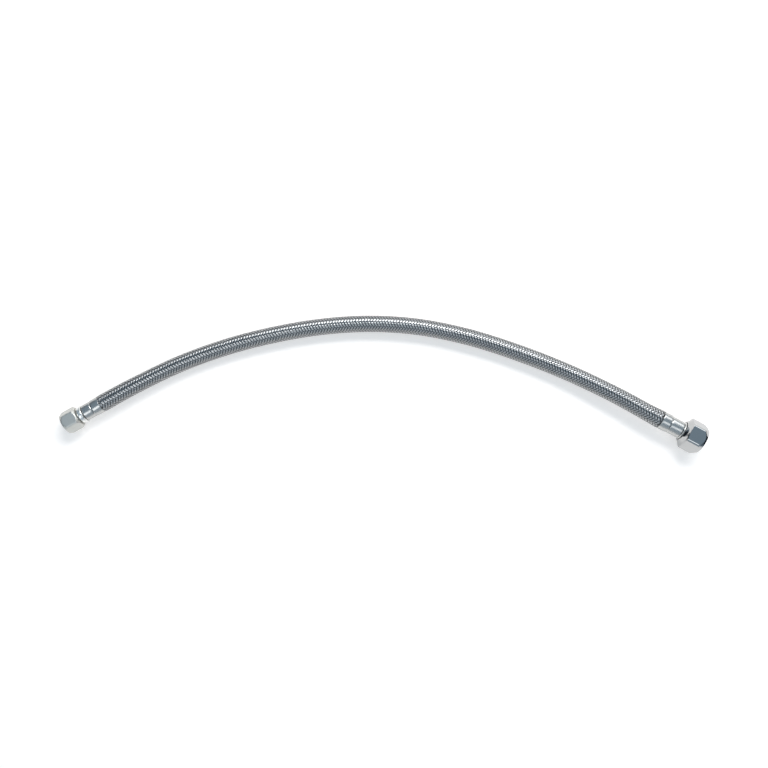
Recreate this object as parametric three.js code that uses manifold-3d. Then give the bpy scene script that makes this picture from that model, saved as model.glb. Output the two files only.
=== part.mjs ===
// Braided water supply line: a rubber hose in a woven steel sleeve, crimped at each end on a brass insert
// that carries a loose hex nut. The valve end (-X) has a small compression nut with a cone seal, the faucet
// end (+X) a larger pipe-thread nut with a flat seal. The line lies on a table in a shallow arch.
//
// Millimetres, +Z up, table at z = 0. +X runs from the valve end to the faucet end.
// Both ends are built along their own axis: u is the distance from the ferrule's mouth towards the nut.

import * as THREE from "three";
import { mergeVertices } from "three/addons/utils/BufferGeometryUtils.js";
import Module from "manifold-3d";

// Fits

const SEAT_GAP = 0.3; // faces that rest on each other along an axis
const RADIAL_GAP = 0.2; // round faces that sit in or on each other
const WEB_MIN = 0.5; // least metal beside a chamfer

// Hose

const BORE_RADIUS = 4.4;
const LINING_WALL = 1.75;
const BRAID_WALL = 0.5;
const BRAID_RADIUS = BORE_RADIUS + LINING_WALL + RADIAL_GAP + BRAID_WALL;
const BULGE_REACH = 8; // length of the sleeve's swelling in front of a crimp
const SPLICE = 1; // overlap of the swept hose and its crimped ends
const SPLICE_INSET = 0.05; // the crimped end's wall lies this far inside the swept wall there
const HOSE_SIDES = 12;
const HOSE_STEPS = 18;

// The route of the hose between the two straight ends, chosen by hand: X and Y in the plan, Z of the middle.

const ROUTE_PLAN = [
  [-207.2, 26.0, 8.35],
  [-168.9, 46.3, 7.05],
  [-129.7, 61.8, 6.9],
  [-90.3, 73.0, 6.9],
  [-50.7, 80.6, 6.9],
  [-10.9, 83.9, 6.9],
  [29.0, 82.1, 6.9],
  [69.0, 74.9, 6.9],
  [109.0, 63.3, 6.95],
  [149.0, 48.5, 7.9],
  [188.1, 30.6, 10.5],
];

// Ends. Lengths are along the axis, radii are outer radii unless the name says otherwise.

const VALVE_END = {
  name: "valve",
  mouth: new THREE.Vector2(-231.5, 11.5), // where the hose enters the ferrule, in plan
  heading: 211.2, // degrees in plan, from +X, the way the nut points
  ferrule: {
    length: 15.3,
    creaseAt: 7.6,
    wall: 0.6,
    creaseDepth: 0.3,
    flare: 0.35, // how much wider the mouth's section is than the front one
  },
  crimp: { liningWall: 0.85, braidWall: 0.4, bulge: 0.25 }, // bulge is how far the sleeve swells
  insert: {
    boreRadius: 2.6,
    stemRadius: 3.9,
    barbDepth: 0.35,
    barbPitch: 2.6,
    barbs: 4,
    stemReach: 1.5, // how far the stem sticks out of the ferrule's mouth, inside the hose
    collarRadius: 7.5,
    collarLength: 3.7,
    collarStep: 0.45, // the collar's front part is this much smaller
    headLength: 1.4,
    headClearance: 0.6, // all round, in the nut's socket
    spigot: { radius: 3.7, length: 1.8 },
  },
  nut: {
    acrossFlats: 17.4,
    length: 13.2,
    lipLength: 2.4,
    socketRadius: 6.8,
    cornerRadius: 2,
    backRadius: 8.1,
    backSlope: 45, // degrees from the end face
    frontRadius: 8.2,
    frontSlope: 60,
    leadIn: 0.5,
    freePlay: 1.0, // travel each way along the insert
  },
  slipWasher: { thickness: 0.8, width: 1.2, clearance: 0.5 }, // clearances here are all round, in the socket
  seal: { kind: "cone", length: 2.8, clearance: 0.6, taper: 1.6, hole: 2.9 },
};

const FAUCET_END = {
  name: "faucet",
  mouth: new THREE.Vector2(226.4, 10.6),
  heading: -26.9,
  ferrule: { length: 18.2, creaseAt: 7.8, wall: 0.6, creaseDepth: 0.3, flare: 0.4 },
  crimp: { liningWall: 1.05, braidWall: 0.4, bulge: 0.55 },
  insert: {
    boreRadius: 3,
    stemRadius: 4.1,
    barbDepth: 0.35,
    barbPitch: 2.6,
    barbs: 5,
    stemReach: 1.5,
    collarRadius: 7.4,
    collarLength: 2.4,
    collarStep: 0.3,
    headLength: 1.6,
    headClearance: 1.1,
  },
  nut: {
    acrossFlats: 23.8,
    length: 17.4,
    lipLength: 2.6,
    recess: { depth: 2.4, clearance: 0.5 }, // for the insert's collar
    socketRadius: 10,
    cornerRadius: 2.6,
    backRadius: 8.7,
    backSlope: 45,
    shoulder: { radius: 11.4, slope: 15 }, // where the turned back meets the hexagon in a steeper face
    frontRadius: 11,
    frontSlope: 60,
    leadIn: 0.6,
    freePlay: 1.1,
  },
  slipWasher: { thickness: 1, width: 3.6, clearance: 0.8 },
  seal: { kind: "flat", length: 2.4, clearance: 0.6, taper: 0, hole: 4.2 },
};

// Fineness of round pieces

const ROUND_SIDES = 32;
const NUT_SIDES = 48;
const CORNER_STEPS = 3;

// Materials

const steelBraid = new THREE.MeshStandardMaterial({ color: 0x9a9da0, roughness: 0.35, metalness: 1 });
const steelSheet = new THREE.MeshStandardMaterial({ color: 0xc9ccce, roughness: 0.15, metalness: 1 });
const nickel = new THREE.MeshStandardMaterial({ color: 0xb4b5b0, roughness: 0.38, metalness: 1 });
const chrome = new THREE.MeshStandardMaterial({ color: 0xcfd3d8, roughness: 0.1, metalness: 1 });
const plated = new THREE.MeshStandardMaterial({ color: 0xc8c9c6, roughness: 0.18, metalness: 1 });
const rubber = new THREE.MeshStandardMaterial({ color: 0x202124, roughness: 0.7, metalness: 0 });
const nylon = new THREE.MeshStandardMaterial({ color: 0xe8e6de, roughness: 0.5, metalness: 0 });

// Solids

const wasm = await Module();
wasm.setup();

function solidOf(geometry) {
  const bare = new THREE.BufferGeometry().setAttribute("position", geometry.getAttribute("position"));
  if (geometry.index) bare.setIndex(geometry.index);
  const merged = mergeVertices(bare, 1e-4);
  return new wasm.Manifold(
    new wasm.Mesh({
      numProp: 3,
      vertProperties: new Float32Array(merged.attributes.position.array),
      triVerts: new Uint32Array(merged.index.array),
    }),
  );
}

function geometryOf(solid) {
  const mesh = solid.getMesh();
  return new THREE.BufferGeometry()
    .setAttribute("position", new THREE.BufferAttribute(new Float32Array(mesh.vertProperties), 3))
    .setIndex(new THREE.BufferAttribute(new Uint32Array(mesh.triVerts), 1));
}

/** A ring turned about the end's axis from a closed outline of [radius, u] points. */
function turned(outline, sides = ROUND_SIDES) {
  const points = outline.map(([radius, u]) => new THREE.Vector2(radius, u));
  if (THREE.ShapeUtils.area(points) < 0) points.reverse();
  return new THREE.LatheGeometry([...points, points[0].clone()], sides);
}

/** Points of a convex quarter or half round on an outline, from one angle to another, in degrees. */
function arc(radius, u, size, from, to, steps = 3) {
  return Array.from({ length: steps + 1 }, (_, i) => {
    const angle = THREE.MathUtils.degToRad(from + ((to - from) * i) / steps);
    return [radius + size * Math.cos(angle), u + size * Math.sin(angle)];
  });
}

function named(name, geometry, material) {
  const mesh = new THREE.Mesh(geometry, material);
  mesh.name = name;
  return mesh;
}

// What an end's pieces share: the radii of the crimped layers and the places along the axis.

function layout(end) {
  const { insert, crimp, ferrule, nut, slipWasher, seal } = end;
  const liningInner = insert.stemRadius + RADIAL_GAP;
  const liningOuter = liningInner + crimp.liningWall;
  const braidInner = liningOuter + RADIAL_GAP;
  const braidOuter = braidInner + crimp.braidWall;
  const creaseInner = braidOuter + RADIAL_GAP;
  const frontInner = creaseInner + ferrule.creaseDepth;
  const mouthInner = frontInner + ferrule.flare;
  const collarBack = ferrule.length + SEAT_GAP;
  const collarFront = collarBack + insert.collarLength;
  const recessFloor = collarFront + nut.freePlay + SEAT_GAP / 2;
  const nutBack = recessFloor - (nut.recess?.depth ?? 0);
  const lipFront = recessFloor + nut.lipLength;
  const washerBack = lipFront + SEAT_GAP;
  const washerFront = washerBack + slipWasher.thickness;
  const headBack = washerFront + nut.freePlay + SEAT_GAP / 2;
  const headFront = headBack + insert.headLength;
  const sealBack = headFront + SEAT_GAP;
  const washerRadius = nut.socketRadius - slipWasher.clearance;
  const washerHole = washerRadius - slipWasher.width;
  const sealRadius = nut.socketRadius - seal.clearance;
  return {
    liningInner,
    liningOuter,
    braidInner,
    braidOuter,
    creaseInner,
    frontInner,
    mouthInner,
    shoulderRadius: liningInner,
    washerRadius,
    washerHole,
    neckRadius: washerHole - RADIAL_GAP,
    headRadius: nut.socketRadius - insert.headClearance,
    sealRadius,
    sealTipRadius: sealRadius - seal.taper,
    layersFront: ferrule.length - ferrule.wall - SEAT_GAP,
    collarBack,
    collarFront,
    recessFloor,
    nutBack,
    nutFront: nutBack + nut.length,
    lipFront,
    washerBack,
    washerFront,
    headBack,
    headFront,
    sealBack,
    sealFront: sealBack + seal.length,
    axisHeight: nut.acrossFlats / 2,
  };
}

// Pieces of one end

/** Crimped steel sleeve: rolled mouth, rear section, crease, front section and an inturned front edge. */
function ferruleGeometry(end, at) {
  const { length, creaseAt, wall, creaseDepth, flare } = end.ferrule;
  const creaseHalf = 2 * creaseDepth;
  const taper = 2 * flare;
  const rollInner = at.shoulderRadius + RADIAL_GAP;
  return turned([
    [at.mouthInner, wall / 2],
    ...arc(at.mouthInner + wall / 2, wall / 2, wall / 2, 180, 360, 4),
    [at.mouthInner + wall, creaseAt - creaseHalf],
    [at.creaseInner + wall + 0.35 * creaseDepth, creaseAt - creaseHalf / 4],
    [at.creaseInner + wall, creaseAt],
    [at.creaseInner + wall + 0.35 * creaseDepth, creaseAt + creaseHalf / 4],
    [at.frontInner + wall, creaseAt + creaseHalf],
    [at.frontInner + wall, length - wall],
    ...arc(at.frontInner, length - wall, wall, 0, 90, 3),
    [rollInner, length],
    [rollInner, length - wall],
    [at.frontInner, length - wall],
    [at.frontInner, creaseAt + creaseHalf],
    [at.creaseInner, creaseAt],
    [at.mouthInner, creaseAt - creaseHalf - taper],
  ]);
}

/** Turned brass insert: barbed stem, collar, neck, head and, where a cone seal sits, a spigot. */
function insertGeometry(end, at) {
  const { insert } = end;
  const start = -insert.stemReach;
  const root = insert.stemRadius - insert.barbDepth;
  const barbs = Array.from({ length: insert.barbs }, (_, i) => {
    const u = start + (i + 1) * insert.barbPitch;
    return [
      [insert.stemRadius, u - insert.barbPitch / 4],
      [insert.stemRadius, u],
      [root, u],
    ];
  }).flat();
  const round = Math.min(0.45 * insert.collarLength, insert.collarRadius - at.neckRadius) / 2;
  const stepAt = at.collarFront - 0.35 * insert.collarLength;
  const stepRadius = insert.collarRadius - insert.collarStep;
  const edge = Math.min(0.25 * insert.headLength, 0.4);
  const nose = insert.spigot
    ? [
        [insert.spigot.radius, at.headFront],
        [insert.spigot.radius, at.headFront + insert.spigot.length],
        [insert.boreRadius, at.headFront + insert.spigot.length],
      ]
    : [[insert.boreRadius, at.headFront]];
  return turned([
    [insert.boreRadius, start],
    [root, start],
    ...barbs,
    [root, at.layersFront - 1],
    [at.shoulderRadius, at.layersFront - 1 + insert.barbDepth],
    [at.shoulderRadius, at.collarBack],
    ...arc(insert.collarRadius - round, at.collarBack + round, round, -90, 90, 6),
    [stepRadius - round / 2, stepAt],
    ...arc(stepRadius - round / 2, at.collarFront - round / 2, round / 2, 0, 90, 2),
    [at.neckRadius, at.collarFront],
    [at.neckRadius, at.headBack],
    [at.headRadius - edge, at.headBack],
    [at.headRadius, at.headBack + edge],
    [at.headRadius, at.headFront - edge],
    [at.headRadius - edge, at.headFront],
    ...nose,
  ]);
}

function slipWasherGeometry(at) {
  return turned([
    [at.washerHole, at.washerBack],
    [at.washerRadius, at.washerBack],
    [at.washerRadius, at.washerFront],
    [at.washerHole, at.washerFront],
  ]);
}

/** Rubber seal: a cone that fits over the spigot, or a flat washer with eased edges. */
function sealGeometry(end, at) {
  const { seal, insert } = end;
  const edge = 0.12 * seal.length;
  const inside = insert.spigot
    ? [
        [seal.hole, at.headFront + insert.spigot.length + SEAT_GAP],
        [insert.spigot.radius + RADIAL_GAP, at.headFront + insert.spigot.length + SEAT_GAP],
        [insert.spigot.radius + RADIAL_GAP, at.sealBack],
      ]
    : [[seal.hole, at.sealBack]];
  return turned([
    [at.sealRadius - edge, at.sealBack],
    [at.sealRadius, at.sealBack + edge],
    [at.sealTipRadius, at.sealFront - edge],
    [at.sealTipRadius - edge, at.sealFront],
    [seal.hole, at.sealFront],
    ...inside,
  ]);
}

/** A hexagon with rounded corners, one flat down, as the section of a nut. */
function hexagon(acrossFlats, cornerRadius) {
  const corner = (acrossFlats / 2 - cornerRadius) / Math.cos(Math.PI / 6);
  const points = [];
  for (let side = 0; side < 6; side++) {
    const middle = (side * Math.PI) / 3;
    for (let i = 0; i <= CORNER_STEPS; i++) {
      const turn = middle + Math.PI / 3 * (i / CORNER_STEPS - 0.5);
      points.push(
        new THREE.Vector2(
          corner * Math.cos(middle) + cornerRadius * Math.cos(turn),
          corner * Math.sin(middle) + cornerRadius * Math.sin(turn),
        ),
      );
    }
  }
  return new THREE.Shape(points);
}

/** Hex nut: hexagon bar cut by a turned form with both chamfers, the lip's hole and the threaded socket. */
function nutGeometry(end, at) {
  const { nut, insert } = end;
  const reach = nut.acrossFlats; // well outside the corners
  const run = (from, to, slope) => (to - from) * Math.tan(THREE.MathUtils.degToRad(slope));
  const shoulder = nut.shoulder ?? { radius: nut.backRadius, slope: nut.backSlope };
  const shoulderAt = at.nutBack + run(nut.backRadius, shoulder.radius, nut.backSlope);
  const bar = new THREE.ExtrudeGeometry(hexagon(nut.acrossFlats, nut.cornerRadius), {
    depth: nut.length,
    bevelEnabled: false,
  });
  bar.rotateX(-Math.PI / 2);
  bar.translate(0, at.nutBack, 0);
  const holeRadius = at.neckRadius + 1.5 * RADIAL_GAP;
  const recessRadius = insert.collarRadius + (nut.recess?.clearance ?? 0);
  const back = nut.recess
    ? [
        [recessRadius, at.nutBack - reach],
        [recessRadius, at.recessFloor],
        [holeRadius, at.recessFloor],
      ]
    : [[holeRadius, at.nutBack - reach]];
  const leadRadius = Math.min(nut.socketRadius + nut.leadIn, nut.frontRadius - WEB_MIN);
  const form = turned(
    [
      ...back,
      [holeRadius, at.lipFront],
      [nut.socketRadius, at.lipFront],
      [nut.socketRadius, at.nutFront - nut.leadIn],
      [leadRadius, at.nutFront],
      [leadRadius, at.nutFront + reach],
      [nut.frontRadius, at.nutFront + reach],
      [nut.frontRadius, at.nutFront],
      [reach, at.nutFront - run(nut.frontRadius, reach, nut.frontSlope)],
      [reach, shoulderAt + run(shoulder.radius, reach, shoulder.slope)],
      ...(nut.shoulder ? [[shoulder.radius, shoulderAt]] : []),
      [nut.backRadius, at.nutBack],
      [nut.backRadius, at.nutBack - reach],
    ],
    NUT_SIDES,
  );
  return geometryOf(solidOf(bar).intersect(solidOf(form)));
}

// The hose

const ENDS = [VALVE_END, FAUCET_END].map((end) => {
  const at = layout(end);
  const heading = THREE.MathUtils.degToRad(end.heading);
  const axis = new THREE.Vector3(Math.cos(heading), Math.sin(heading), 0);
  const mouth = new THREE.Vector3(end.mouth.x, end.mouth.y, at.axisHeight);
  return { ...end, at, axis, mouth };
});

function pointBeforeMouth(end, distance) {
  return end.mouth.clone().addScaledVector(end.axis, -distance);
}

/** The middle of the swept hose, straight for a short way where it leaves each end. */
function hoseRoute() {
  const [valve, faucet] = ENDS;
  return new THREE.CatmullRomCurve3(
    [
      pointBeforeMouth(valve, BULGE_REACH),
      pointBeforeMouth(valve, 1.6 * BULGE_REACH),
      ...ROUTE_PLAN.map(([x, y, z]) => new THREE.Vector3(x, y, z)),
      pointBeforeMouth(faucet, 1.6 * BULGE_REACH),
      pointBeforeMouth(faucet, BULGE_REACH),
    ],
    false,
    "centripetal",
  );
}

function sweptTube(route, outerRadius, innerRadius) {
  const ring = (radius) =>
    Array.from({ length: HOSE_SIDES }, (_, i) => {
      const angle = (2 * Math.PI * i) / HOSE_SIDES;
      return new THREE.Vector2(radius * Math.cos(angle), radius * Math.sin(angle));
    });
  const section = new THREE.Shape(ring(outerRadius));
  section.holes.push(new THREE.Path(ring(innerRadius)));
  return new THREE.ExtrudeGeometry(section, { steps: HOSE_STEPS, extrudePath: route, bevelEnabled: false });
}

/** One crimped end of a hose layer: an outline in [radius, u], set on the end's axis and in line with the sweep. */
function crimpedEnd(outline, end, normal) {
  const geometry = turned(outline, HOSE_SIDES);
  const across = new THREE.Vector3().crossVectors(normal, end.axis);
  const place = new THREE.Matrix4().makeBasis(normal, end.axis, across).setPosition(end.mouth);
  return geometry.applyMatrix4(place);
}

function hoseLayer(route, outerRadius, innerRadius, outlineOf) {
  const frames = route.computeFrenetFrames(HOSE_STEPS, false);
  const normals = [frames.normals[0], frames.normals[HOSE_STEPS]];
  const solid = ENDS.reduce(
    (joined, end, i) => joined.add(solidOf(crimpedEnd(outlineOf(end), end, normals[i]))),
    solidOf(sweptTube(route, outerRadius, innerRadius)),
  );
  return geometryOf(solid);
}

const SPLICE_AT = -BULGE_REACH - SPLICE;
const TUCK = 1.2; // length over which a layer dives under the ferrule's mouth

function braidOutline({ at, crimp }) {
  const inner = BRAID_RADIUS - BRAID_WALL;
  return [
    [BRAID_RADIUS - SPLICE_INSET, SPLICE_AT],
    [BRAID_RADIUS - SPLICE_INSET, -BULGE_REACH],
    [BRAID_RADIUS + crimp.bulge, -2.5 * TUCK],
    [BRAID_RADIUS + crimp.bulge, -TUCK],
    [at.mouthInner - RADIAL_GAP, -SEAT_GAP],
    [at.braidOuter, TUCK],
    [at.braidOuter, at.layersFront],
    [at.braidInner, at.layersFront],
    [at.braidInner, TUCK],
    [inner + SPLICE_INSET, -2.5 * TUCK],
    [inner + SPLICE_INSET, SPLICE_AT],
  ];
}

function liningOutline({ at, insert }) {
  const outer = BORE_RADIUS + LINING_WALL;
  return [
    [outer - SPLICE_INSET, SPLICE_AT],
    [outer - SPLICE_INSET, -3 * TUCK],
    [at.liningOuter, 0.6 * TUCK],
    [at.liningOuter, at.layersFront - 1 - insert.barbDepth],
    [at.liningInner, at.layersFront - 1 - insert.barbDepth],
    [at.liningInner, -insert.stemReach - SEAT_GAP],
    [BORE_RADIUS + SPLICE_INSET, -BULGE_REACH],
    [BORE_RADIUS + SPLICE_INSET, SPLICE_AT],
  ];
}

// Assembly

const route = hoseRoute();

const supplyLine = new THREE.Group();
supplyLine.add(
  named(
    "hose_lining",
    hoseLayer(route, BORE_RADIUS + LINING_WALL, BORE_RADIUS, liningOutline),
    rubber,
  ),
  named(
    "hose_braid",
    hoseLayer(route, BRAID_RADIUS, BRAID_RADIUS - BRAID_WALL, braidOutline),
    steelBraid,
  ),
);

const UP = new THREE.Vector3(0, 0, 1);

for (const end of ENDS) {
  const fitting = new THREE.Group();
  fitting.add(
    named(end.name + "_ferrule", ferruleGeometry(end, end.at), steelSheet),
    named(end.name + "_insert", insertGeometry(end, end.at), plated),
    named(end.name + "_slip_washer", slipWasherGeometry(end.at), nylon),
    named(`${end.name}_${end.seal.kind}_seal`, sealGeometry(end, end.at), rubber),
    named(end.name + "_nut", nutGeometry(end, end.at), end === ENDS[0] ? nickel : chrome),
  );
  const across = new THREE.Vector3().crossVectors(end.axis, UP);
  fitting.quaternion.setFromRotationMatrix(new THREE.Matrix4().makeBasis(across, end.axis, UP));
  fitting.position.copy(end.mouth);
  supplyLine.add(fitting);
}

export default supplyLine;
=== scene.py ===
"""A braided water supply line on a pale table, dressed for the photograph.

A rubber hose in a sleeve of woven stainless wire is crimped at each end on a plated insert that carries a
loose hex nut. Lengths in the sizes below are millimetres; meshes are made in metres, in the row frame.
"""

import logging
import math
from dataclasses import dataclass, field
from enum import Enum

import bmesh
import bpy
import numpy as np
from bmesh.types import BMesh
from bpy.types import Mesh, Node, NodeSocket, NodeTree, Object
from mathutils import Matrix, Vector


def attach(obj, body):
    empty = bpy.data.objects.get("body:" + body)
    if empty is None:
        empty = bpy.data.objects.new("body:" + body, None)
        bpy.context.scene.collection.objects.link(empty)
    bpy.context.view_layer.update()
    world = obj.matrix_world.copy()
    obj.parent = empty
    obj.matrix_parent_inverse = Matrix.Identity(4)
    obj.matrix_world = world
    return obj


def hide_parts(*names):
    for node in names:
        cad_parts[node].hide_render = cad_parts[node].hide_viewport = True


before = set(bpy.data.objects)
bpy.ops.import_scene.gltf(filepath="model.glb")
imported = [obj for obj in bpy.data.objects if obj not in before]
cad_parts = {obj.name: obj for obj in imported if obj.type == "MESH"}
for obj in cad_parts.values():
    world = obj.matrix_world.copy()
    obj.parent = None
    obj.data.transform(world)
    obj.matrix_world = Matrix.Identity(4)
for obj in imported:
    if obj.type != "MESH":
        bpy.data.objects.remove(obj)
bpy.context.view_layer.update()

logging.basicConfig(level=logging.INFO, format="%(levelname)s %(message)s")
log = logging.getLogger("supply_line")

MM = 0.001
SEAT_GAP = 0.3  # between faces that seat on each other
RADIAL_GAP = 0.2  # between round surfaces that fit into each other
SEAM_DISTANCE = 1e-7  # metres, between points that are one on a spun ring
MERGE_DISTANCE = 1e-6  # metres, the same on a rolled grid
HEXAGON_TURN = math.pi / 6  # from a flat's middle to a corner

STRAND_MAP = "strand"  # the UV map of a strand: U along it, V round its section
SHADE_ATTRIBUTE = "shade_mask"  # the point attribute of painted shade: 1 where a strand floats, 0 where it dives and, by painted shadow, before the faucet ferrule's mouth

Outline = list[tuple[float, float]]
Pairs = tuple[tuple[float, float], ...]
Triple = tuple[float, float, float]


class Seal(Enum):
    """The kinds of rubber seal at the front of an insert."""

    CONE = "cone"
    FLAT = "flat"


class Lay(Enum):
    """The way a strand of the sleeve winds round the hose: its sign is that of the turn along the hose."""

    RISING = -1
    FALLING = 1


# Finishes

SCRATCH_SHARE = 0.4  # how strong scratches are beside patches
WIRE_CREST = 1.02  # just over 1, so that a wire's height is real at its sides
GROOVE_SHARPNESS = 6.0  # the power that narrows the gap between two wires
GROOVE_SHADE = 0.55  # how much darker that gap is, as painted shade
WIRE_RELIEF = 0.0001  # metres
MARKS_RELIEF = 0.00002  # metres
QUARTER_TURN = 0.25
MIX_FIRST, MIX_SECOND, MIX_RESULT = 6, 7, 2  # the colour sockets of a Mix node


def make_group(name: str, inputs: dict[str, float], outputs: tuple[str, ...]) -> tuple[NodeTree, Node, Node]:
    """Starts a shader node group.

    Args:
        name: the group's name.
        inputs: float inputs and their default values.
        outputs: the names of its float outputs.

    Returns:
        The group with its input and output nodes.
    """
    group = bpy.data.node_groups.new(name, "ShaderNodeTree")
    for key, value in inputs.items():
        socket = group.interface.new_socket(key, in_out="INPUT", socket_type="NodeSocketFloat")
        socket.default_value = value
    for key in outputs:
        group.interface.new_socket(key, in_out="OUTPUT", socket_type="NodeSocketFloat")
    return group, group.nodes.new("NodeGroupInput"), group.nodes.new("NodeGroupOutput")


def math_node(tree: NodeTree, operation: str, *values: object) -> NodeSocket:
    """Adds a math node and wires it.

    Args:
        tree: the node tree.
        operation: the name of the operation.
        values: numbers or sockets for its inputs, in order.

    Returns:
        The node's output socket.
    """
    node = tree.nodes.new("ShaderNodeMath")
    node.operation = operation
    for slot, value in zip(node.inputs, values):
        if isinstance(value, NodeSocket):
            tree.links.new(value, slot)
        else:
            slot.default_value = value
    return node.outputs[0]


def tarnish_group() -> NodeTree:
    """Handling marks: slow patches and fine scratches that change the tone and gloss of a metal.

    Returns:
        A group with the outputs Tone (a factor for the colour), Gloss (added roughness) and Height.
    """
    group, source, result = make_group(
        "handling_marks",
        {"Patch Scale": 60.0, "Scratch Scale": 900.0, "Depth": 0.1},
        ("Tone", "Gloss", "Height"),
    )
    place = group.nodes.new("ShaderNodeTexCoord").outputs["Object"]
    patch = group.nodes.new("ShaderNodeTexNoise")
    patch.inputs["Detail"].default_value = 3.0
    scratch = group.nodes.new("ShaderNodeTexNoise")
    scratch.inputs["Detail"].default_value = 2.0
    for node, key in ((patch, "Patch Scale"), (scratch, "Scratch Scale")):
        group.links.new(place, node.inputs["Vector"])
        group.links.new(source.outputs[key], node.inputs["Scale"])
    swing = math_node(group, "SUBTRACT", patch.outputs["Fac"], 0.5)
    fine = math_node(group, "SUBTRACT", scratch.outputs["Fac"], 0.5)
    both = math_node(group, "ADD", swing, math_node(group, "MULTIPLY", fine, SCRATCH_SHARE))
    marks = math_node(group, "ABSOLUTE", math_node(group, "MULTIPLY", both, source.outputs["Depth"]))
    group.links.new(math_node(group, "SUBTRACT", 1.0, marks), result.inputs["Tone"])
    group.links.new(marks, result.inputs["Gloss"])
    group.links.new(scratch.outputs["Fac"], result.inputs["Height"])
    return group


def wires_group() -> NodeTree:
    """The wires that lie side by side in a strand, from the strand's own UV map.

    Returns:
        A group with the outputs Height (each wire's round back), Groove (a mask of the gaps between wires)
        and Painted Shade (1 on the top of a float, darkened by painted shade towards its sides and where the
        strand dives).
    """
    group, source, result = make_group(
        "wires_in_a_strand",
        {"Wires": 14.0, "Sides": 0.1, "Dive Shade": 0.12},
        ("Height", "Groove", "Painted Shade"),
    )
    cut = group.nodes.new("ShaderNodeSeparateXYZ")
    uv = group.nodes.new("ShaderNodeUVMap")
    uv.uv_map = STRAND_MAP
    group.links.new(uv.outputs["UV"], cut.inputs[0])
    wave = math_node(group, "MULTIPLY", cut.outputs["Y"], source.outputs["Wires"])
    saw = math_node(group, "SUBTRACT", math_node(group, "FRACT", wave), 0.5)
    square = math_node(group, "MULTIPLY", math_node(group, "MULTIPLY", saw, saw), 4.0)
    height = math_node(group, "SQRT", math_node(group, "SUBTRACT", WIRE_CREST, square))
    group.links.new(height, result.inputs["Height"])
    group.links.new(math_node(group, "POWER", square, GROOVE_SHARPNESS), result.inputs["Groove"])
    # Painted shade: the colour factor falls towards each strand's sides and where it dives under the other
    # lay
    shade_mask = group.nodes.new("ShaderNodeAttribute")
    shade_mask.attribute_name = SHADE_ATTRIBUTE
    turn = math_node(group, "MULTIPLY", cut.outputs["Y"], 2 * math.pi)
    back = math_node(group, "ABSOLUTE", math_node(group, "SINE", turn))
    painted_shade = None
    for mask, floor in ((back, "Sides"), (shade_mask.outputs["Fac"], "Dive Shade")):
        gain = math_node(group, "SUBTRACT", 1.0, source.outputs[floor])
        lit = math_node(group, "ADD", math_node(group, "MULTIPLY", mask, gain), source.outputs[floor])
        painted_shade = lit if painted_shade is None else math_node(group, "MULTIPLY", painted_shade, lit)
    group.links.new(painted_shade, result.inputs["Painted Shade"])
    return group


@dataclass(frozen=True)
class Finish:
    """One finish: its colour and gloss, and how strong its handling marks are."""

    name: str
    colour: tuple[float, float, float]
    roughness: float
    metallic: float = 1.0
    marks: float = 0.1
    patch_scale: float = 60.0
    scratch_scale: float = 900.0
    bump: float = 0.0
    wires: float = 0.0
    brushed: float = 0.0

    def material(self, groups: dict[str, NodeTree]) -> bpy.types.Material:
        """Builds the material.

        Args:
            groups: the shared node groups.

        Returns:
            A node material of this finish.
        """
        made = bpy.data.materials.new(self.name)
        made.use_nodes = True
        tree = made.node_tree
        shader = tree.nodes["Principled BSDF"]
        shader.inputs["Metallic"].default_value = self.metallic
        marks = tree.nodes.new("ShaderNodeGroup")
        marks.node_tree = groups["marks"]
        marks.inputs["Patch Scale"].default_value = self.patch_scale
        marks.inputs["Scratch Scale"].default_value = self.scratch_scale
        marks.inputs["Depth"].default_value = self.marks
        tone, height, relief = marks.outputs["Tone"], marks.outputs["Height"], MARKS_RELIEF
        if self.wires:
            tone, height = self.weave(tree, groups["wires"], tone)
            relief = WIRE_RELIEF
        tint = tree.nodes.new("ShaderNodeMix")
        tint.data_type = "RGBA"
        tint.blend_type = "MULTIPLY"
        tint.inputs["Factor"].default_value = 1.0
        tint.inputs[MIX_FIRST].default_value = (*self.colour, 1.0)
        tree.links.new(tone, tint.inputs[MIX_SECOND])
        tree.links.new(tint.outputs[MIX_RESULT], shader.inputs["Base Color"])
        gloss = math_node(tree, "ADD", marks.outputs["Gloss"], self.roughness)
        tree.links.new(gloss, shader.inputs["Roughness"])
        if self.bump:
            bump = tree.nodes.new("ShaderNodeBump")
            bump.inputs["Strength"].default_value = self.bump
            bump.inputs["Distance"].default_value = relief
            tree.links.new(height, bump.inputs["Height"])
            tree.links.new(bump.outputs["Normal"], shader.inputs["Normal"])
        return made

    def weave(
        self, tree: NodeTree, group: NodeTree, tone: NodeSocket
    ) -> tuple[NodeSocket, NodeSocket]:
        """Brushes a material along its strands and darkens their grooves, sides and dives with painted shade.

        Args:
            tree: the material's nodes.
            group: the group of a strand's wires.
            tone: the factor for the colour so far.

        Returns:
            The shaded factor and the height of the wires.
        """
        shader = tree.nodes["Principled BSDF"]
        strand = tree.nodes.new("ShaderNodeGroup")
        strand.node_tree = group
        strand.inputs["Wires"].default_value = self.wires
        run = tree.nodes.new("ShaderNodeTangent")
        run.direction_type = "UV_MAP"
        run.uv_map = STRAND_MAP
        tree.links.new(run.outputs["Tangent"], shader.inputs["Tangent"])
        shader.inputs["Anisotropic"].default_value = self.brushed
        shader.inputs["Anisotropic Rotation"].default_value = QUARTER_TURN
        # Painted shade: the gaps between wires are darkened first, then the strands' sides and dives
        groove = math_node(tree, "MULTIPLY", strand.outputs["Groove"], GROOVE_SHADE)
        shaded = math_node(tree, "MULTIPLY", tone, math_node(tree, "SUBTRACT", 1.0, groove))
        return math_node(tree, "MULTIPLY", shaded, strand.outputs["Painted Shade"]), strand.outputs["Height"]


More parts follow.
